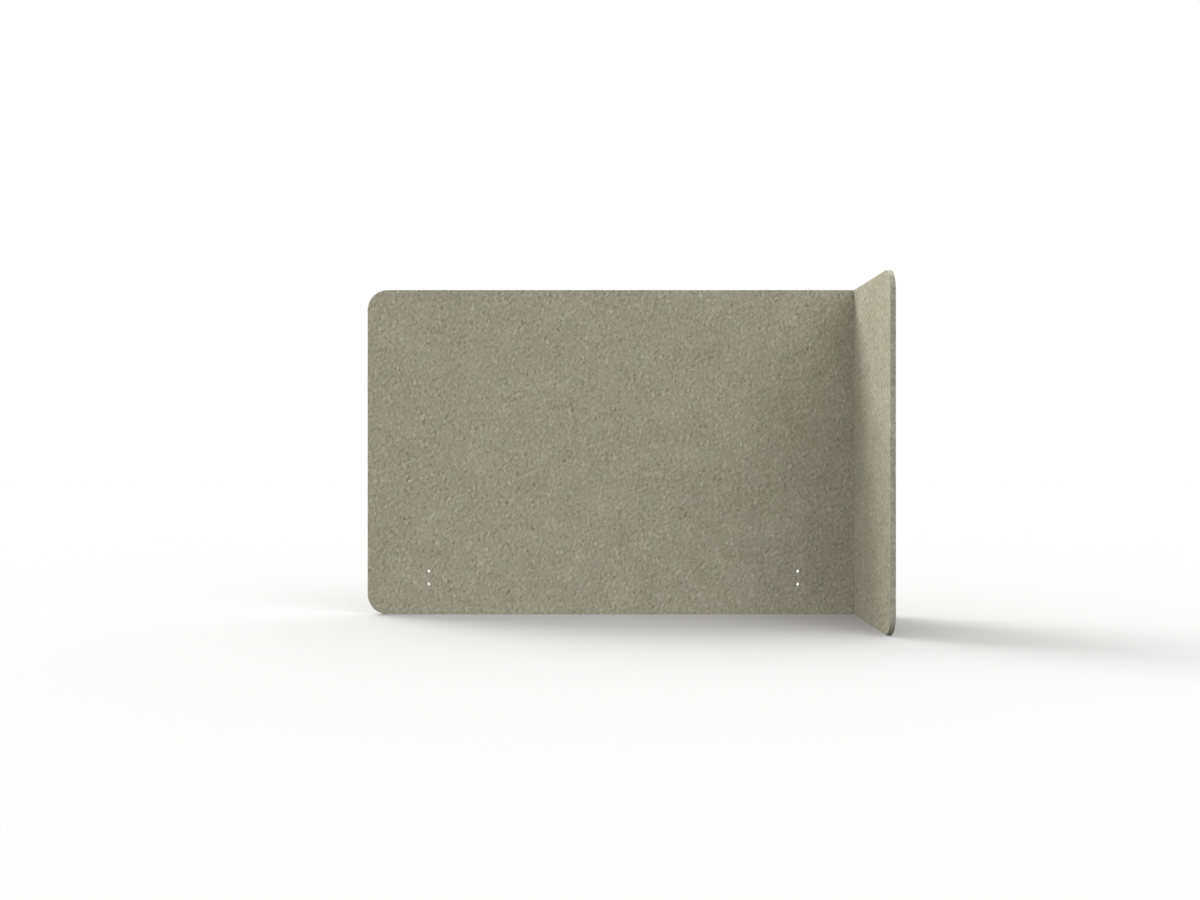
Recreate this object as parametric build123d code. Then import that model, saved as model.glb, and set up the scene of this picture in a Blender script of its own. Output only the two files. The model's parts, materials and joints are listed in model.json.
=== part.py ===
from build123d import *
import os
from math import sqrt

# Acoustic divider screen: one felt board, V-grooved and folded into a long leaf and a short wing.
# The board is pressed from three layers, a felt on each face and a thicker core between them.
# At the fold a V is cut out of the inner felt and the core, and the outer felt is left whole:
# it is the hinge. With the wing at a right angle the two sides of the V meet in a mitre.
#
# Millimetres. +Z is up and the screen stands on Z = 0. X runs along the main leaf, from its
# free end to the fold. The wing comes forward from the fold, towards -Y. The origin is under
# the middle of the screen's box.

# Both leaves, each measured inside the corner, from its free end to the fold
MAIN_LENGTH = 1200.0
WING_LENGTH = 400.0
SCREEN_HEIGHT = 800.0
MAIN_CORNER_RADIUS = 50.0
WING_CORNER_RADIUS = 50.0

# Layers of the board
FACE_FELT = 2.0
CORE = 8.0

# Gap between the two sides of the closed mitre
MITRE_GAP = 0.3

# Clamp holes in the main leaf, a pair near each end of it, one hole above the other
HOLE_DIAMETER = 8.0
HOLE_SPACING = 32.0
HOLE_PAIR_HEIGHT = 90.0
LEFT_PAIR_FROM_FREE_END = 150.0
RIGHT_PAIR_FROM_WING_FACE = 150.0
CUTTER_OVERRUN = 1.0

# Places worked out from those sizes. LEFT to RIGHT and FRONT to BACK are the screen's box,
# INNER is the corner between the two inner faces, SEAM is where the inner felts meet their
# cores, and BEND is the line that the outer felt bends round.
BOARD = FACE_FELT + CORE + FACE_FELT
LEFT = -(MAIN_LENGTH + BOARD) / 2
RIGHT = LEFT + MAIN_LENGTH + BOARD
FRONT = -(WING_LENGTH + BOARD) / 2
BACK = FRONT + WING_LENGTH + BOARD
INNER_X = RIGHT - BOARD
INNER_Y = BACK - BOARD
SEAM_X = INNER_X + FACE_FELT
SEAM_Y = INNER_Y + FACE_FELT
BEND_X = RIGHT - FACE_FELT
BEND_Y = BACK - FACE_FELT
MITRE_STEP = MITRE_GAP / sqrt(2)


def upright(outline):
    """A solid as tall as the screen, from a closed outline in plan."""
    return extrude(make_face(outline), amount=SCREEN_HEIGHT, dir=(0, 0, 1))


def clamp_holes():
    """Four cutters along Y, a pair near each end of the main leaf."""
    cutter = Cylinder(HOLE_DIAMETER / 2, BOARD + 2 * CUTTER_OVERRUN, rotation=(90, 0, 0))
    left_pair = LEFT + LEFT_PAIR_FROM_FREE_END
    right_pair = RIGHT - RIGHT_PAIR_FROM_WING_FACE
    middle_y = (INNER_Y + BACK) / 2
    cutters = []
    for x in (left_pair, right_pair):
        for step in (-HOLE_SPACING / 2, HOLE_SPACING / 2):
            cutters.append(Pos(x, middle_y, HOLE_PAIR_HEIGHT + step) * cutter)
    return cutters


def main_layer(front, back, end_at_front, end_at_back):
    """One layer of the main leaf. It lies between front and back, and stops beside the fold."""
    outline = Polyline(
        (LEFT, front), (end_at_front, front), (end_at_back, back), (LEFT, back), close=True
    )
    layer = upright(outline)
    free_corners = layer.edges().filter_by(Axis.Y).group_by(Axis.X)[0]
    layer = fillet(free_corners, MAIN_CORNER_RADIUS)
    for cutter in clamp_holes():
        layer -= cutter
    return layer


def wing_layer(inner, outer, end_at_inner, end_at_outer):
    """One layer of the wing. It lies between inner and outer, and stops beside the fold."""
    outline = Polyline(
        (inner, FRONT), (outer, FRONT), (outer, end_at_outer), (inner, end_at_inner), close=True
    )
    layer = upright(outline)
    free_corners = layer.edges().filter_by(Axis.X).group_by(Axis.Y)[0]
    return fillet(free_corners, WING_CORNER_RADIUS)


def main_front_felt():
    return main_layer(INNER_Y, SEAM_Y, INNER_X - MITRE_STEP, SEAM_X - MITRE_STEP)


def main_core():
    return main_layer(SEAM_Y, BEND_Y, SEAM_X - MITRE_STEP, BEND_X - MITRE_STEP)


def main_back_felt():
    return main_layer(BEND_Y, BACK, BEND_X, BEND_X)


def wing_inner_felt():
    return wing_layer(INNER_X, SEAM_X, INNER_Y - MITRE_STEP, SEAM_Y - MITRE_STEP)


def wing_core():
    return wing_layer(SEAM_X, BEND_X, SEAM_Y - MITRE_STEP, BEND_Y - MITRE_STEP)


def wing_outer_felt():
    return wing_layer(BEND_X, RIGHT, BEND_Y, BEND_Y)


def fold_hinge():
    """The outer felt where it bends round the corner: a quarter round as thick as the felt."""
    along_wing_end = Line((BEND_X, BEND_Y), (RIGHT, BEND_Y))
    outside = CenterArc((BEND_X, BEND_Y), FACE_FELT, 0, 90)
    along_main_end = Line((BEND_X, BACK), (BEND_X, BEND_Y))
    return upright([along_wing_end, outside, along_main_end])


SUB_PARTS = {
    "main_front_felt": main_front_felt,
    "main_core": main_core,
    "main_back_felt": main_back_felt,
    "wing_inner_felt": wing_inner_felt,
    "wing_core": wing_core,
    "wing_outer_felt": wing_outer_felt,
    "fold_hinge": fold_hinge,
}

os.makedirs("parts", exist_ok=True)
for name, make in SUB_PARTS.items():
    export_step(make(), f"parts/{name}.step")
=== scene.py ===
import json
import math

import bpy
import numpy as np
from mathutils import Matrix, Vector
from mathutils.geometry import delaunay_2d_cdt


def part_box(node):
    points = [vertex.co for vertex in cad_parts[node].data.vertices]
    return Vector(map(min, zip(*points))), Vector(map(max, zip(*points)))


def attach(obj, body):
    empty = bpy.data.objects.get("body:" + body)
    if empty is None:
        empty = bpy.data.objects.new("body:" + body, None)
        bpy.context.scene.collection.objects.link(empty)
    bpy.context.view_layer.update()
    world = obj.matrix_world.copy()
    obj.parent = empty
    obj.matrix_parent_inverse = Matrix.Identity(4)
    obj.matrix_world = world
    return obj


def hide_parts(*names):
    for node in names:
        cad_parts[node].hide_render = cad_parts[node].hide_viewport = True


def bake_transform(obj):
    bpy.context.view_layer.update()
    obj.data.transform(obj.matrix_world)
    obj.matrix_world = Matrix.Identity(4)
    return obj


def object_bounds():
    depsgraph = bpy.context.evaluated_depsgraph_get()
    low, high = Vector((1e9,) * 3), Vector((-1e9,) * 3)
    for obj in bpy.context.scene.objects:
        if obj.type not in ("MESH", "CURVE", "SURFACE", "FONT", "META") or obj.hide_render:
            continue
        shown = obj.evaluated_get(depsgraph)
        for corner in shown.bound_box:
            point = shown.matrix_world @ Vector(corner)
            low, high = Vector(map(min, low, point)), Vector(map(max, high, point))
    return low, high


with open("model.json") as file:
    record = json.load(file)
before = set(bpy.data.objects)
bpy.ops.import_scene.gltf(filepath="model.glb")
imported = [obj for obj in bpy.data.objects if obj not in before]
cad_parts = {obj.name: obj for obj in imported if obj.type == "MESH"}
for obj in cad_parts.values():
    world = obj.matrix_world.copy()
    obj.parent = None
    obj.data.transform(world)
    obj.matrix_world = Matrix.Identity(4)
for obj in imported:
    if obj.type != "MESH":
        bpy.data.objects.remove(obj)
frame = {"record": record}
cad_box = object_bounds()

MM = 0.001

# Sizes and places of the screen, read from the frame
SCREEN_LOW, SCREEN_HIGH = cad_box
BEND_LOW, BEND_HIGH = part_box("fold_hinge")
LEFT, FRONT, FLOOR = SCREEN_LOW
INNER_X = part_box("wing_inner_felt")[0].x
INNER_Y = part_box("main_front_felt")[0].y
HEIGHT = SCREEN_HIGH.z - FLOOR
BOARD = SCREEN_HIGH.y - INNER_Y
FELT = BEND_HIGH.y - BEND_LOW.y
CORNER_RADIUS = 50 * MM

# Every piece is laid out on the flat sheet before it is folded. A place on it has three
# coordinates: s along the outer felt, from the main leaf's free end round the bend to the
# wing's free end, d for the depth from the inner face, and w for the height. The bend is as
# long as the middle line of the outer felt there.
INNER_SEAM = FELT
OUTER_SEAM = BOARD - FELT
BEND_LENGTH = math.pi / 2 * FELT / 2
BEND_START = BEND_LOW.x - LEFT
BEND_END = BEND_START + BEND_LENGTH
SHEET_LENGTH = BEND_END + BEND_LOW.y - FRONT

# The two sides of the mitre each stand back a hair from its middle
MITRE_STEP = 0.03 * MM
MAIN_CUT = INNER_X - MITRE_STEP - LEFT
WING_CUT = SHEET_LENGTH - (INNER_Y - MITRE_STEP - FRONT)

# How finely the meshes are divided
FACE_STEP = 4.5 * MM
HIDDEN_STEP = 30 * MM
EDGE_STEP = 3 * MM
WALL_STEP = 1 * MM
ARC_STEPS = 28
HOLE_STEPS = 40
BEND_STEPS = 8
ARRIS_STEPS = 3
SHARP_ANGLE = 40

# The cut edges: the face fibres roll over them, and the core lies a little back and is ragged
ARRIS = 0.3 * MM
HOLE_ARRIS_SHARE = 0.5
CORE_RECESS = 0.15 * MM
EDGE_FUZZ = 0.18 * MM
EDGE_WAVE = 0.25 * MM
EDGE_WAVE_STEP = 11 * MM

# The outer felt stands off the core beside the bend, in full and then less and less
BEND_HOLLOW = 0.15 * MM
BEND_HOLLOW_FULL = 2 * MM
BEND_HOLLOW_END = 6 * MM

# The unevenness of a face: how wide its lumps are and how high, and how far in it is whole
RELIEF_LUMPS = ((70 * MM, 0.18 * MM), (24 * MM, 0.14 * MM), (11 * MM, 0.09 * MM))
RELIEF_RISE = 12 * MM

# How near two points count as one: on an outline, and when a face is cut into triangles
SAME_COLUMN = 1e-6
SAME_POINT = 1e-7
INSIDE_ONLY = 1

# A triangle lies across a hole if its middle is within this share of the hole's radius
HOLE_SHARE = 0.98

# Which of a piece's two materials a triangle has
FACE = 0
CUT = 1

# Base colours, and how red, green and blue vary with the mottled hue and with light and dark
FACE_TONE = (0.281, 0.2676, 0.206)
CUT_TONE = (0.2805, 0.2715, 0.2145)
CORE_TONE = (0.2745, 0.2685, 0.2175)
HUE_WAY = (0.744, -0.256, 0.344)
SHADE_WAY = (0.965, 1.0, 1.12)
FELT_ROUGHNESS = 1.0
FELT_SPECULAR = 0.1

# How much each kind of fibre lightens or darkens a face, and how high the fibres stand
COMBED = 0.46
TUFTS = 0.38
STRANDS = 0.45
LIGHT_HAIRS = 0.25
DARK_HAIRS = 0.21
CURLS = 0.17
CRISPNESS = 1.2
STRAND_RISE = 0.6
LIGHT_HAIR_RISE = 0.25
FACE_BUMP = 0.5 * MM

# Patches of a face: the size of each kind in millimetres, and how much it does. The hue is
# turned everywhere a little towards red, and in mossy spots towards green.
FACE_MOTTLE = ((14, 0.05), (30, 0.10), (60, 0.13), (120, 0.09))
CRISP_SIZE = 22
FACE_HUE = 0.004
SMALL_HUE_SIZE = 16
SMALL_HUE = 0.02
LARGE_HUE_SIZE = 55
LARGE_HUE = 0.055
MOSS_SIZE = 30
MOSS_START = 0.12
MOSS = -0.16

# The same for a cut edge
LAYERS = 0.46
ENDS = 0.37
LAYER_RISE = 0.5
CUT_BUMP = 0.3 * MM
CUT_MOTTLE = ((4, 0.50), (9, 0.45), (22, 0.31), (60, 0.20))
CUT_HUE_SIZE = 15
CUT_HUE = 0.06

# How far apart in the noise its uses are, so that no two of them look alike
SHIFT_SHARE = 1 / 3
STROKE_SHIFT = 17.3
PIECE_SHIFT = 50

# Where a hair is broken off, and how sharply
PIECE_SHARPNESS = 8.0
PIECE_START = -0.4

# The studio: its brightness from above and below, the floor, and how wide each light looks
WHITE = (1, 1, 1, 1)
FROM_ABOVE = 1.614
FROM_BELOW = 0.3
FLOOR_HALF = 12.0
FLOOR_ALBEDO = 0.395
LIGHT_WIDTH = 30

# The camera is level and looks straight at the main leaf
CAMERA_PLACE = (-0.0327, -2.996, 0.4054)
LENS_LENGTH = 38.785
SENSOR_WIDTH = 36

rng = np.random.default_rng(7)


def smooth(share):
    """A share from 0 to 1, with a soft start and end."""
    return share * share * (3 - 2 * share)


def lumps(cell_s, cell_w, size_s, size_w):
    """A smooth random field from -1 to 1, with lumps of about that cell size."""
    grid = rng.uniform(-1, 1, (int(size_s / cell_s) + 3, int(size_w / cell_w) + 3))

    def value(s, w):
        a = s / cell_s
        b = w / cell_w
        i = a.astype(int)
        j = b.astype(int)
        a = smooth(a - i)
        b = smooth(b - j)
        low = grid[i, j] * (1 - a) + grid[i + 1, j] * a
        high = grid[i, j + 1] * (1 - a) + grid[i + 1, j + 1] * a
        return low * (1 - b) + high * b

    return value


def relief_field():
    """The unevenness of a pressed felt face, in metres."""
    fields = [
        (height, lumps(width, width, SHEET_LENGTH, HEIGHT)) for width, height in RELIEF_LUMPS
    ]
    return lambda s, w: sum(height * field(s, w) for height, field in fields)


def ragged_edge(length):
    """How far a cut edge wanders in and out along its length, in metres."""
    fuzz = lumps(EDGE_STEP, WALL_STEP, length, BOARD)
    wave = lumps(EDGE_WAVE_STEP, BOARD, length, BOARD)
    return lambda travel, depth: EDGE_FUZZ * fuzz(travel, depth) + EDGE_WAVE * wave(travel, depth)


def clamp_holes():
    """Each clamp hole's place along the sheet, its height and its radius."""
    found = []
    for mount in frame["record"]["mounts"]:
        if mount["kind"] == "bolt_pattern":
            x, _, z = mount["pos_m"]
            half = mount["dims"]["spacing_y_mm"] * MM / 2
            radius = mount["dims"]["hole_r_mm"] * MM
            found.append((x - LEFT, z - half, radius))
            found.append((x - LEFT, z + half, radius))
    return found


def place_on_main(s, d, w):
    """Where places on the sheet come to stand on the main leaf."""
    return np.stack([LEFT + s, INNER_Y + d, FLOOR + w], 1)


def place_on_wing(s, d, w):
    """Where places on the sheet come to stand on the wing."""
    return np.stack([INNER_X + d, FRONT + SHEET_LENGTH - s, FLOOR + w], 1)


def place_round_bend(s, d, w):
    """Straight along the main leaf, a quarter turn, then straight along the wing."""
    turn = np.clip((s - BEND_START) / BEND_LENGTH, 0, 1) * math.pi / 2
    out = d - OUTER_SEAM
    x = BEND_LOW.x + out * np.sin(turn) + np.minimum(s - BEND_START, 0)
    y = BEND_LOW.y + out * np.cos(turn) - np.maximum(s - BEND_END, 0)
    return np.stack([x, y, FLOOR + w], 1)


def spaced(start, end, step):
    """Evenly spaced places from start up to, but not including, end."""
    count = max(1, round((end - start) / step))
    return start + (end - start) * np.arange(count) / count


def straight_run(s, w, way):
    """Points along a straight edge, and the way out of the layer at each."""
    points = np.stack(np.broadcast_arrays(s, w), 1)
    return points, np.tile(way, (len(points), 1)).astype(float)


def corner_run(s, w, start):
    """Points round a corner with its centre there, from an angle on, and the ways out."""
    angle = np.radians(start + 90 * np.arange(ARC_STEPS) / ARC_STEPS)
    way = np.stack([np.cos(angle), np.sin(angle)], 1)
    return np.array([s, w]) + CORNER_RADIUS * way, way


def end_run(s, free, turn):
    """Points up an end of the layer if turn is 1, or down it if -1, and the ways out.

    An end at the fold has no way out, so that it stays where it is.
    """
    margin = CORNER_RADIUS if free else 0
    w = spaced(margin, HEIGHT - margin, EDGE_STEP)
    points, outward = straight_run(s, w if turn > 0 else HEIGHT - w, (turn * free, 0))
    if not free:
        outward[0] = (0, -turn)
    return points, outward


class Layer:
    """The outline of one layer on the flat sheet.

    A free end has rounded corners. An end at the fold is square, and moves by lean times the
    depth where it is a side of the mitre. The columns are where the long edges have points,
    and a fold is a column that the faces are creased along.
    """

    def __init__(
        self, low, high, low_free=True, high_free=True, lean=0, holes=(), columns=None, folds=()
    ):
        self.low = low
        self.high = high
        self.low_free = low_free
        self.high_free = high_free
        self.lean = lean
        self.holes = holes
        self.folds = folds
        first = low + CORNER_RADIUS * low_free
        last = high - CORNER_RADIUS * high_free
        self.columns = spaced(first, last, EDGE_STEP) if columns is None else columns
        self.points, self.outward = self.trace(first, last)
        share = (self.points[:, 0] - first) / (last - first)
        self.slide = np.clip(share if lean > 0 else 1 - share, 0, 1) * lean
        step = np.linalg.norm(np.roll(self.points, -1, 0) - self.points, axis=1)
        self.length = step.sum()
        self.travel = np.cumsum(step) - step

    def trace(self, first, last):
        """The points round the layer, as a loop that turns left, and the ways out."""
        runs = [straight_run(self.columns, 0.0, (0, -1))]
        if self.high_free:
            runs.append(corner_run(last, CORNER_RADIUS, -90))
        runs.append(end_run(self.high, self.high_free, 1))
        if self.high_free:
            runs.append(corner_run(last, HEIGHT - CORNER_RADIUS, 0))
        back = np.append(self.columns[1:], last)[::-1]
        runs.append(straight_run(back, HEIGHT, (0, 1)))
        if self.low_free:
            runs.append(corner_run(first, HEIGHT - CORNER_RADIUS, 90))
        runs.append(end_run(self.low, self.low_free, -1))
        if self.low_free:
            runs.append(corner_run(first, CORNER_RADIUS, 180))
        points, outward = zip(*runs)
        return np.concatenate(points), np.concatenate(outward)

    def ring(self, depth, inset, ragged=None):
        """The outline at a depth, set in by inset."""
        inset = np.full(len(self.points), inset)
        if ragged:
            inset = inset + ragged(self.travel, np.full(len(self.points), depth))
        out = self.points - self.outward * inset[:, None]
        out[:, 0] += self.slide * depth
        return out

    def hole_ring(self, hole, inset):
        """A clamp hole's edge, as a loop that turns right."""
        s, w, radius = hole
        angle = -2 * math.pi * np.arange(HOLE_STEPS) / HOLE_STEPS
        way = np.stack([np.cos(angle), np.sin(angle)], 1)
        return np.array([s, w]) + (radius + inset * HOLE_ARRIS_SHARE) * way

    def room(self, s, w, depth):
        """How far inside the layer's edges each point is."""
        low = self.low + min(self.lean, 0) * depth
        high = self.high + max(self.lean, 0) * depth
        from_side = np.minimum(w, HEIGHT - w)
        room = from_side
        for from_end, free in ((s - low, self.low_free), (high - s, self.high_free)):
            room = np.minimum(room, from_end)
            if free:
                over_s = CORNER_RADIUS - from_end
                over_w = CORNER_RADIUS - from_side
                rounded = CORNER_RADIUS - np.hypot(over_s, over_w)
                room = np.where((over_s > 0) & (over_w > 0), rounded, room)
        for hole_s, hole_w, radius in self.holes:
            room = np.minimum(room, np.hypot(s - hole_s, w - hole_w) - radius)
        return room

    def grid(self, step, depth):
        """Points inside the layer, in rows that are shifted by half a step in turn."""
        rows = np.arange(step / 2, HEIGHT, step * math.sqrt(3) / 2)
        columns = np.arange(self.low - BOARD, self.high + BOARD, step)
        s, w = np.meshgrid(columns, rows)
        s = s + np.where(np.arange(len(rows)) % 2, step / 2, 0)[:, None]
        s = s.ravel()
        w = w.ravel()
        keep = self.room(s, w, depth) > step / 2
        for column in self.folds:
            keep &= np.abs(s - column) > step / 2
        return np.stack([s[keep], w[keep]], 1)

    def fold_ends(self, column):
        """Which points of a ring are the lower and the upper end of a fold."""
        near = np.abs(self.points[:, 0] - column) < SAME_COLUMN
        low_half = self.points[:, 1] < HEIGHT / 2
        return np.flatnonzero(near & low_half)[0], np.flatnonzero(near & ~low_half)[0]


class Shell:
    """A closed mesh in the making, on the flat sheet."""

    def __init__(self):
        self.points = []
        self.faces = []
        self.looks = []
        self.count = 0

    def add(self, flat, depth):
        """Adds points at a depth, and gives their numbers."""
        depth = np.broadcast_to(depth, len(flat))
        self.points.append(np.stack([flat[:, 0], depth, flat[:, 1]], 1))
        self.count += len(flat)
        return np.arange(self.count - len(flat), self.count)

    def triangles(self, corners, look):
        """Adds triangles, which turn left seen from outside, all in one material."""
        self.faces.append(corners)
        self.looks.append(np.full(len(corners), look))

    def wall(self, ring, next_ring, look):
        """Joins two loops that have the same number of points."""
        after = np.roll(ring, -1)
        next_after = np.roll(next_ring, -1)
        self.triangles(np.stack([ring, next_ring, next_after], 1), look)
        self.triangles(np.stack([ring, next_after, after], 1), look)

    def cap(self, loops, inner, chains):
        """The triangles that fill the first loop through the inner points, and their middles.

        The other loops are holes. A chain is a row of points from edge to edge that no
        triangle crosses.
        """
        edges = [np.stack([loop, np.roll(loop, -1)], 1) for loop in loops]
        edges += [np.stack([chain[:-1], chain[1:]], 1) for chain in chains]
        numbers = np.unique(np.concatenate([*loops, *chains, inner]))
        flat = np.concatenate(self.points)[numbers][:, [0, 2]]
        edges = np.searchsorted(numbers, np.concatenate(edges)).tolist()
        places = [Vector(place) for place in flat.tolist()]
        made = delaunay_2d_cdt(places, edges, [], INSIDE_ONLY, SAME_POINT)
        if len(made[0]) != len(flat):
            raise ValueError("two points of a cap are in one place")
        corners = np.array(made[2])
        return numbers[corners], np.array(made[0])[corners].mean(1)

    def object(self, name, place, materials):
        """The finished piece, with each point's place on the sheet kept for its materials."""
        sheet = np.concatenate(self.points)
        faces = np.concatenate(self.faces)
        looks = np.concatenate(self.looks)
        mesh = bpy.data.meshes.new(name)
        mesh.vertices.add(len(sheet))
        mesh.vertices.foreach_set("co", place(*sheet.T).astype(np.float32).ravel())
        mesh.loops.add(faces.size)
        mesh.loops.foreach_set("vertex_index", faces.astype(np.int32).ravel())
        mesh.polygons.add(len(faces))
        mesh.polygons.foreach_set("loop_start", np.arange(0, faces.size, 3, dtype=np.int32))
        mesh.polygons.foreach_set("material_index", looks.astype(np.int32))
        mesh.polygons.foreach_set("use_smooth", np.ones(len(faces), bool))
        mesh.update(calc_edges=True)
        mesh.attributes.new("sheet", "FLOAT_VECTOR", "POINT")
        mesh.attributes["sheet"].data.foreach_set("vector", sheet.astype(np.float32).ravel())
        mesh.set_sharp_from_angle(angle=math.radians(SHARP_ANGLE))
        for material in materials:
            mesh.materials.append(material)
        made = bpy.data.objects.new(name, mesh)
        bpy.context.scene.collection.objects.link(made)
        return made


def in_hole(middle, holes):
    """Which triangles lie across a clamp hole."""
    inside = np.zeros(len(middle), bool)
    for s, w, radius in holes:
        inside |= np.hypot(middle[:, 0] - s, middle[:, 1] - w) < radius * HOLE_SHARE
    return inside


# The rings of a piece run from its front face to its back one. Each gives a depth, how far
# it is set in there, and whether it is ragged.
def arris_rings(face, inward):
    """The rounded edge of a face at a depth: rings from the face to the wall.

    Every second ring is ragged, so that the fibres roll over the edge unevenly.
    """
    rings = []
    for number in range(ARRIS_STEPS):
        angle = math.radians(90) * number / ARRIS_STEPS
        depth = face + inward * ARRIS * (1 - math.cos(angle))
        rings.append((depth, ARRIS * (1 - math.sin(angle)), number % 2 == 1))
    return rings + [(face + inward * ARRIS, 0, True)]


def wall_rings(start, end, inset):
    """The rings of a cut edge between two depths, without those at the depths themselves."""
    count = max(1, round((end - start) / WALL_STEP))
    return [(start + (end - start) * k / count, inset, True) for k in range(1, count)]


def level_shape(s, depth):
    """The depth of a plain face, which is the same everywhere."""
    return np.full(len(s), depth)


def bend_shape(s, depth):
    """The outer felt's inner face stands a hair off the core beside the bend."""
    if depth >= OUTER_SEAM + BEND_HOLLOW:
        return level_shape(s, depth)
    away = np.abs(s - BEND_START - BEND_LENGTH / 2)
    fade = (BEND_HOLLOW_END - away) / (BEND_HOLLOW_END - BEND_HOLLOW_FULL)
    return np.maximum(depth, OUTER_SEAM + BEND_HOLLOW * np.clip(fade, 0, 1))


def add_loops(shell, layer, rings, shape):
    """Adds the points of each ring: first the layer's outline, then the holes' edges."""
    wander = ragged_edge(layer.length)
    loops = []
    for depth, inset, ragged in rings:
        flat = layer.ring(depth, inset, wander if ragged else None)
        loop = [shell.add(flat, shape(flat[:, 0], depth))]
        loop += [shell.add(layer.hole_ring(hole, inset), depth) for hole in layer.holes]
        loops.append(loop)
    return loops


def add_walls(shell, loops, rings):
    """Joins each ring to the next. Where both are set in as far, the wall is a cut edge."""
    for number in range(len(rings) - 1):
        look = CUT if rings[number][1] == rings[number + 1][1] else FACE
        for loop, next_loop in zip(loops[number], loops[number + 1]):
            shell.wall(loop, next_loop, look)


def face_depth(layer, flat, depth, relief, shape):
    """How deep each point of a face is. The relief comes up from nothing at the edges."""
    even = shape(flat[:, 0], depth)
    if not relief:
        return even
    whole = smooth(np.clip(layer.room(*flat.T, depth) / RELIEF_RISE, 0, 1))
    return even + relief(*flat.T) * whole


def cap_triangles(shell, layer, loops, depth, relief, shape):
    """Adds the points inside a face, and gives its triangles, with the holes left open."""
    step = FACE_STEP if relief else HIDDEN_STEP
    flat = layer.grid(step, depth)
    inner = shell.add(flat, face_depth(layer, flat, depth, relief, shape))
    chains = []
    for column in layer.folds:
        w = spaced(0, HEIGHT, step)[1:]
        flat = np.stack([np.full(len(w), column), w], 1)
        between = shell.add(flat, face_depth(layer, flat, depth, relief, shape))
        below, above = layer.fold_ends(column)
        chains.append(np.array([loops[0][below], *between, loops[0][above]]))
    faces, middle = shell.cap(loops, inner, chains)
    return faces[~in_hole(middle, layer.holes)]


def build_layer(
    name, layer, rings, place, materials, front_relief=None, back_relief=None, shape=level_shape
):
    """One closed piece, from its rings."""
    shell = Shell()
    loops = add_loops(shell, layer, rings, shape)
    add_walls(shell, loops, rings)
    front = cap_triangles(shell, layer, loops[0], rings[0][0], front_relief, shape)
    shell.triangles(front, FACE)
    back = cap_triangles(shell, layer, loops[-1], rings[-1][0], back_relief, shape)
    shell.triangles(back[:, ::-1], FACE)
    return shell.object(name, place, materials)


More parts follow.
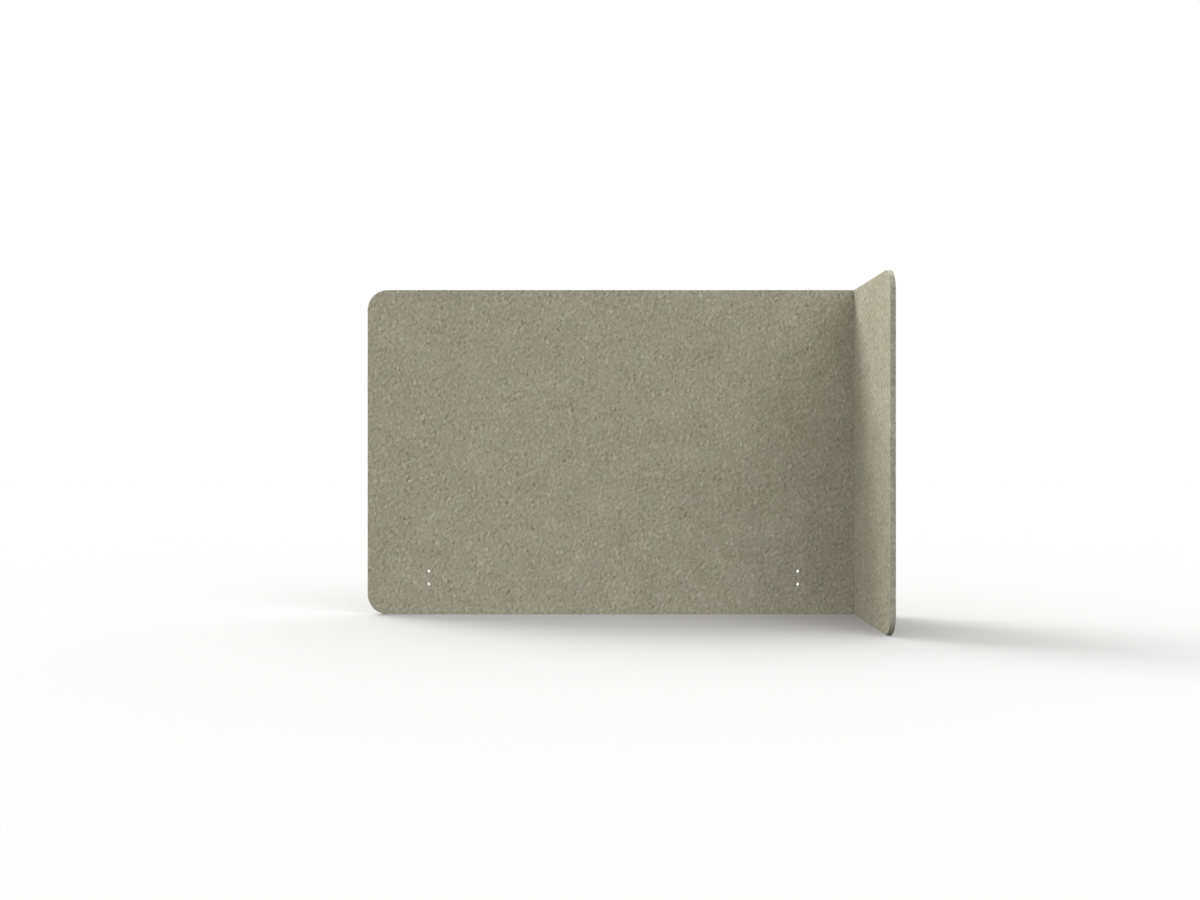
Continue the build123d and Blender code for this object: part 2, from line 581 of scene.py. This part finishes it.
class Graph:
    """The shader nodes of a material or a world, with a short way to add and link them."""

    def __init__(self, owner):
        owner.use_nodes = True
        self.owner = owner
        self.nodes = owner.node_tree.nodes
        self.links = owner.node_tree.links

    def join(self, node, inputs):
        """Links or sets each of a node's inputs."""
        for key, value in inputs.items():
            if isinstance(value, bpy.types.NodeSocket):
                self.links.new(value, node.inputs[key])
            else:
                node.inputs[key].default_value = value

    def add(self, kind, inputs, **settings):
        """Adds a node with these settings and inputs."""
        made = self.nodes.new("ShaderNode" + kind)
        for key, value in settings.items():
            setattr(made, key, value)
        self.join(made, inputs)
        return made

    def calc(self, operation, a, b=0.0, c=0.0):
        """One sum with numbers."""
        return self.add("Math", {0: a, 1: b, 2: c}, operation=operation).outputs[0]

    def vector(self, operation, inputs):
        """One sum with vectors."""
        return self.add("VectorMath", inputs, operation=operation).outputs[0]

    def noise(self, place, size, dimensions="2D"):
        """Noise centred on 0, with lumps of about that size."""
        inputs = {"Vector": place, "Scale": 1 / size, "Detail": 0.0}
        made = self.add("TexNoise", inputs, noise_dimensions=dimensions)
        return self.calc("SUBTRACT", made.outputs["Fac"], 0.5)

    def mottling(self, place, patches, dimensions="2D"):
        """Noise for each size of patch, with its amount."""
        return [(self.noise(place, size, dimensions), amount) for size, amount in patches]

    def summed(self, start, terms):
        """start plus each value times its amount."""
        total = start
        for value, amount in terms:
            total = self.calc("MULTIPLY_ADD", value, amount, total)
        return total

    def swayed(self, place, size, amount):
        """The place, moved about by soft noise."""
        inputs = {"Vector": place, "Scale": 1 / size, "Detail": 1.0}
        color = self.add("TexNoise", inputs, noise_dimensions="2D").outputs["Color"]
        centred = self.vector("SUBTRACT", {0: color, 1: (0.5, 0.5, 0.5)})
        return self.vector("MULTIPLY_ADD", {0: centred, 1: (amount, amount, 0), 2: place})

    def scaled(self, place, length, thickness):
        """The place, so that noise on it is that long along the board and that thick."""
        scale = (1 / length, 1 / length, 1 / thickness)
        return self.add("Mapping", {"Vector": place, "Scale": scale}).outputs[0]

    def stretched(self, place, angle, width, length, shift):
        """The place, turned and scaled so that noise on it comes out as long strokes."""
        inputs = {"Vector": place, "Rotation": (0, 0, math.radians(angle))}
        turned = self.add("Mapping", inputs).outputs[0]
        location = (shift, shift * SHIFT_SHARE, 0)
        scale = (1 / width, 1 / length, 1)
        inputs = {"Vector": turned, "Location": location, "Scale": scale}
        return self.add("Mapping", inputs).outputs[0]

    def patches(self, place, size, shift):
        """Noise with patches of that size, from a place of its own in the noise."""
        return self.noise(self.stretched(place, 0, 1, 1, shift), size)

    def streaks(self, place, width, length, angles, shift):
        """Light and dark strokes at several angles, the strongest on top, centred on 0."""
        values = []
        for index, angle in enumerate(angles):
            stroke_shift = shift + STROKE_SHIFT * index
            values.append(self.noise(self.stretched(place, angle, width, length, stroke_shift), 1))
        top = bottom = values[0]
        for value in values[1:]:
            top = self.calc("MAXIMUM", top, value)
            bottom = self.calc("MINIMUM", bottom, value)
        return self.calc("ADD", top, bottom)

    def waves(self, place, size, cycles, spread, angle):
        """Ripples that mostly cross the same way, centred on 0: 0 is an even spread of ways."""
        inputs = {
            "Vector": place,
            "Scale": 1 / size,
            "Frequency": cycles,
            "Anisotropy": spread,
            "Orientation": math.radians(angle),
        }
        made = self.add("TexGabor", inputs, gabor_type="2D")
        return self.calc("SUBTRACT", made.outputs["Value"], 0.5)

    def hairs(self, place, angle, width, length, fineness, shift):
        """Thin curling lines, broken into pieces: 1 on a line and 0 off it."""
        across = self.noise(self.stretched(place, angle, width, length, shift), 1)
        line = self.calc("MULTIPLY_ADD", self.calc("ABSOLUTE", across), -fineness, 1.0)
        piece_place = self.stretched(place, angle, width, length, shift + PIECE_SHIFT)
        piece = self.noise(piece_place, 1)
        piece = self.calc("MULTIPLY_ADD", piece, PIECE_SHARPNESS, PIECE_START)
        return self.calc("MAXIMUM", self.calc("MINIMUM", line, piece), 0.0)

    def tinted(self, tone, shade, hue):
        """The tone, lightened by shade, and turned towards red by hue or towards green below 0."""
        tint = self.vector("SCALE", {0: HUE_WAY, "Scale": hue})
        light = self.vector("SCALE", {0: SHADE_WAY, "Scale": shade})
        both = self.vector("ADD", {0: tint, 1: light})
        return self.vector("MULTIPLY_ADD", {0: both, 1: tone, 2: tone})

    def felt(self, color, height, rise):
        """Links the colour and the bump, and sets what is the same all over the felt."""
        bump = self.add("Bump", {"Height": height, "Distance": rise, "Strength": 1.0})
        self.join(self.nodes["Principled BSDF"], {
            "Base Color": color,
            "Normal": bump.outputs[0],
            "Roughness": FELT_ROUGHNESS,
            "Specular IOR Level": FELT_SPECULAR,
        })
        return self.owner


def sheet_place(graph, order):
    """The place on the flat sheet in millimetres, with its coordinates in the given order."""
    sheet = graph.add("Attribute", {}, attribute_name="sheet", attribute_type="GEOMETRY")
    scaled = graph.vector("SCALE", {0: sheet.outputs["Vector"], "Scale": 1 / MM})
    parts = graph.add("SeparateXYZ", {0: scaled}).outputs
    picked = {index: parts["sdw".index(letter)] for index, letter in enumerate(order)}
    return graph.add("CombineXYZ", picked).outputs[0]


# Lengths, widths and sizes of fibres are in millimetres, and their angles in degrees
def face_fibres(graph, flat):
    """How light the fibres make a face at each point, and how high they stand."""
    place = graph.swayed(flat, size=12, amount=9)
    combed = graph.waves(place, size=19, cycles=1.5, spread=0.45, angle=-27)
    tufts = graph.streaks(place, width=4, length=12, angles=(0, 22, -15, 45), shift=2)
    strands = graph.streaks(place, width=2, length=9, angles=(-5, 35, -25, 70), shift=31)
    light_hairs = graph.hairs(place, angle=-20, width=6, length=14, fineness=12, shift=61)
    dark_hairs = graph.hairs(place, angle=35, width=6, length=14, fineness=12, shift=83)
    curls = graph.hairs(place, angle=-12, width=11, length=22, fineness=8, shift=140)
    light = graph.summed(0.0, (
        (combed, COMBED),
        (tufts, TUFTS),
        (strands, STRANDS),
        (light_hairs, LIGHT_HAIRS),
        (dark_hairs, -DARK_HAIRS),
        (curls, CURLS),
    ))
    height = graph.summed(0.0, (
        (combed, 1.0), (tufts, 1.0), (strands, STRAND_RISE), (light_hairs, LIGHT_HAIR_RISE),
    ))
    return light, height


def face_hue(graph, flat):
    """How far the colour of a face turns towards red."""
    moss = graph.patches(flat, MOSS_SIZE, shift=307)
    return graph.summed(FACE_HUE, (
        (graph.patches(flat, SMALL_HUE_SIZE, shift=211), SMALL_HUE),
        (graph.patches(flat, LARGE_HUE_SIZE, shift=401), LARGE_HUE),
        (graph.calc("MAXIMUM", graph.calc("SUBTRACT", moss, MOSS_START), 0.0), MOSS),
    ))


def face_material(name, drawn, contrast):
    """The pressed face: fibres that are combed one way and swirl over each other, in patches.

    It is crisp in some places and smooth in others, and mottled in lightness and in hue. The
    fibres are drawn out along the sheet that many times.
    """
    graph = Graph(bpy.data.materials.new(name))
    inputs = {"Vector": sheet_place(graph, "sw"), "Scale": (1 / drawn, 1, 1)}
    flat = graph.add("Mapping", inputs).outputs[0]
    fibres, height = face_fibres(graph, flat)
    crisp = graph.patches(flat, CRISP_SIZE, shift=11000)
    crisp = graph.calc("MULTIPLY_ADD", crisp, CRISPNESS, 1.0)
    fibres = graph.calc("MULTIPLY", fibres, crisp)
    shade = graph.summed(0.0, ((fibres, contrast), *graph.mottling(flat, FACE_MOTTLE)))
    color = graph.tinted(FACE_TONE, shade, face_hue(graph, flat))
    return graph.felt(color, height, FACE_BUMP)


def cut_material(name, tone, coarse):
    """A cut edge: the ends and sides of fibres that lie in layers, as the faces do."""
    graph = Graph(bpy.data.materials.new(name))
    place = sheet_place(graph, "swd")
    layers = graph.noise(graph.scaled(place, length=7, thickness=0.8 * coarse), 1, "3D")
    ends = graph.noise(graph.scaled(place, length=1.2, thickness=0.4 * coarse), 1, "3D")
    mottling = graph.mottling(place, CUT_MOTTLE, "3D")
    shade = graph.summed(0.0, ((layers, LAYERS), (ends, ENDS), *mottling))
    hue = graph.calc("MULTIPLY", graph.noise(place, CUT_HUE_SIZE, "3D"), CUT_HUE)
    height = graph.summed(0.0, ((layers, LAYER_RISE), (ends, 1.0)))
    return graph.felt(graph.tinted(tone, shade, hue), height, CUT_BUMP)


def build_floor():
    """A plain floor. The light that it would throw back up comes from the studio's lower half."""
    mesh = bpy.data.meshes.new("floor")
    ways = ((-1, -1), (1, -1), (1, 1), (-1, 1))
    corners = [(x * FLOOR_HALF, y * FLOOR_HALF, 0) for x, y in ways]
    mesh.from_pydata(corners, [], [(0, 1, 2, 3)])
    made = bpy.data.objects.new("floor", mesh)
    made.visible_diffuse = False
    made.visible_shadow = False
    bpy.context.scene.collection.objects.link(made)
    graph = Graph(bpy.data.materials.new("floor"))
    graph.join(graph.nodes["Principled BSDF"], {
        "Base Color": (FLOOR_ALBEDO, FLOOR_ALBEDO, FLOOR_ALBEDO, 1),
        "Roughness": 1.0,
        "Specular IOR Level": 0.0,
    })
    mesh.materials.append(graph.owner)
    return made


def build_studio():
    """A plain white backdrop, which lights the screen from above and more softly from below."""
    world = bpy.data.worlds.new("studio")
    bpy.context.scene.world = world
    graph = Graph(world)
    way = graph.add("TexCoord", {}).outputs["Generated"]
    above = graph.calc("GREATER_THAN", graph.add("SeparateXYZ", {0: way}).outputs["Z"], 0.0)
    inputs = {"Value": above, "To Min": FROM_BELOW, "To Max": FROM_ABOVE}
    strength = graph.add("MapRange", inputs).outputs["Result"]
    backdrop = graph.nodes["Background"]
    graph.join(backdrop, {"Color": WHITE, "Strength": strength})
    seen = graph.add("Background", {"Color": WHITE})
    by_camera = graph.add("LightPath", {}).outputs["Is Camera Ray"]
    mix = graph.add("MixShader", {0: by_camera, 1: backdrop.outputs[0], 2: seen.outputs[0]})
    graph.join(graph.nodes["World Output"], {"Surface": mix.outputs[0]})


def add_light(name, around, up, strength):
    """A soft distant light, that many degrees round the screen and above it."""
    sun = bpy.data.lights.new(name, "SUN")
    sun.energy = strength
    sun.angle = math.radians(LIGHT_WIDTH)
    light = bpy.data.objects.new(name, sun)
    light.rotation_euler = (math.radians(90 - up), 0, math.radians(90 + around))
    bpy.context.scene.collection.objects.link(light)


def add_camera():
    """The camera of the photo."""
    camera_data = bpy.data.cameras.new("camera")
    camera_data.lens = LENS_LENGTH
    camera_data.sensor_width = SENSOR_WIDTH
    camera = bpy.data.objects.new("camera", camera_data)
    camera.location = CAMERA_PLACE
    camera.rotation_euler = (math.radians(90), 0, 0)
    bpy.context.scene.collection.objects.link(camera)
    bpy.context.scene.camera = camera


# Materials
face_felt = face_material("face_felt", drawn=1.0, contrast=1.0)
# The wing's copy of the face felt has its fibres drawn out along the sheet, and its light and dark
# made stronger: that stronger contrast is painted light and shade of the raking light on the
# wing's relief
wing_felt_painted_relief_shade = face_material("wing_felt_painted_relief_shade", drawn=1.25, contrast=1.12)
cut_felt = cut_material("cut_felt", CUT_TONE, coarse=1.0)
core_felt = cut_material("core_felt", CORE_TONE, coarse=1.6)

# Outlines of the layers
holes = clamp_holes()
main_layer = Layer(0, MAIN_CUT, high_free=False, lean=1, holes=holes)
wing_layer = Layer(WING_CUT, SHEET_LENGTH, low_free=False, lean=-1)
skin_columns = np.concatenate([
    spaced(CORNER_RADIUS, BEND_START, EDGE_STEP),
    spaced(BEND_START, BEND_END, BEND_LENGTH / BEND_STEPS),
    spaced(BEND_END, SHEET_LENGTH - CORNER_RADIUS, EDGE_STEP),
])
in_bend = (skin_columns >= BEND_START) & (skin_columns < BEND_END + SAME_COLUMN)
skin_layer = Layer(
    0, SHEET_LENGTH, holes=holes, columns=skin_columns, folds=skin_columns[in_bend]
)

# Their rings, from the inner face to the outer one
inner_rings = [
    *arris_rings(0, 1),
    *wall_rings(ARRIS, INNER_SEAM, 0),
    (INNER_SEAM, 0, True),
]
core_rings = [
    (INNER_SEAM, CORE_RECESS, True),
    *wall_rings(INNER_SEAM, OUTER_SEAM, CORE_RECESS),
    (OUTER_SEAM, CORE_RECESS, True),
]
outer_rings = [
    (OUTER_SEAM, 0, True),
    *wall_rings(OUTER_SEAM, BOARD - ARRIS, 0),
    *arris_rings(BOARD, -1)[::-1],
]

# Pieces
relief = relief_field()
outer_relief = relief_field()
main_inner = build_layer(
    "main_inner_felt", main_layer, inner_rings, place_on_main, [face_felt, cut_felt], relief
)
main_middle = build_layer(
    "main_core_felt", main_layer, core_rings, place_on_main, [core_felt, core_felt]
)
wing_inner = build_layer(
    "wing_inner_face", wing_layer, inner_rings, place_on_wing, [wing_felt_painted_relief_shade, cut_felt], relief
)
wing_middle = build_layer(
    "wing_core_felt", wing_layer, core_rings, place_on_wing, [core_felt, core_felt]
)
skin = build_layer(
    "outer_felt", skin_layer, outer_rings, place_round_bend, [face_felt, cut_felt],
    back_relief=outer_relief, shape=bend_shape,
)

for piece, body, replaced, slot in (
    (main_inner, "main_leaf", "main_front_felt", "face_felt"),
    (main_middle, "main_leaf", "main_core", "felt_core"),
    (wing_inner, "wing", "wing_inner_felt", "face_felt"),
    (wing_middle, "wing", "wing_core", "felt_core"),
):
    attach(piece, body)
    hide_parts(replaced)

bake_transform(skin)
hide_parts("main_back_felt", "wing_outer_felt", "fold_hinge")

# Studio
floor_object = build_floor()
build_studio()
add_light("key_high", around=132, up=54, strength=1.53)
add_light("key_low", around=144, up=42, strength=1.79)
add_light("left_fill", around=180, up=8, strength=0.40)
add_light("front_fill", around=312, up=45, strength=0.514)
add_camera()
bpy.context.scene.view_settings.view_transform = "Standard"
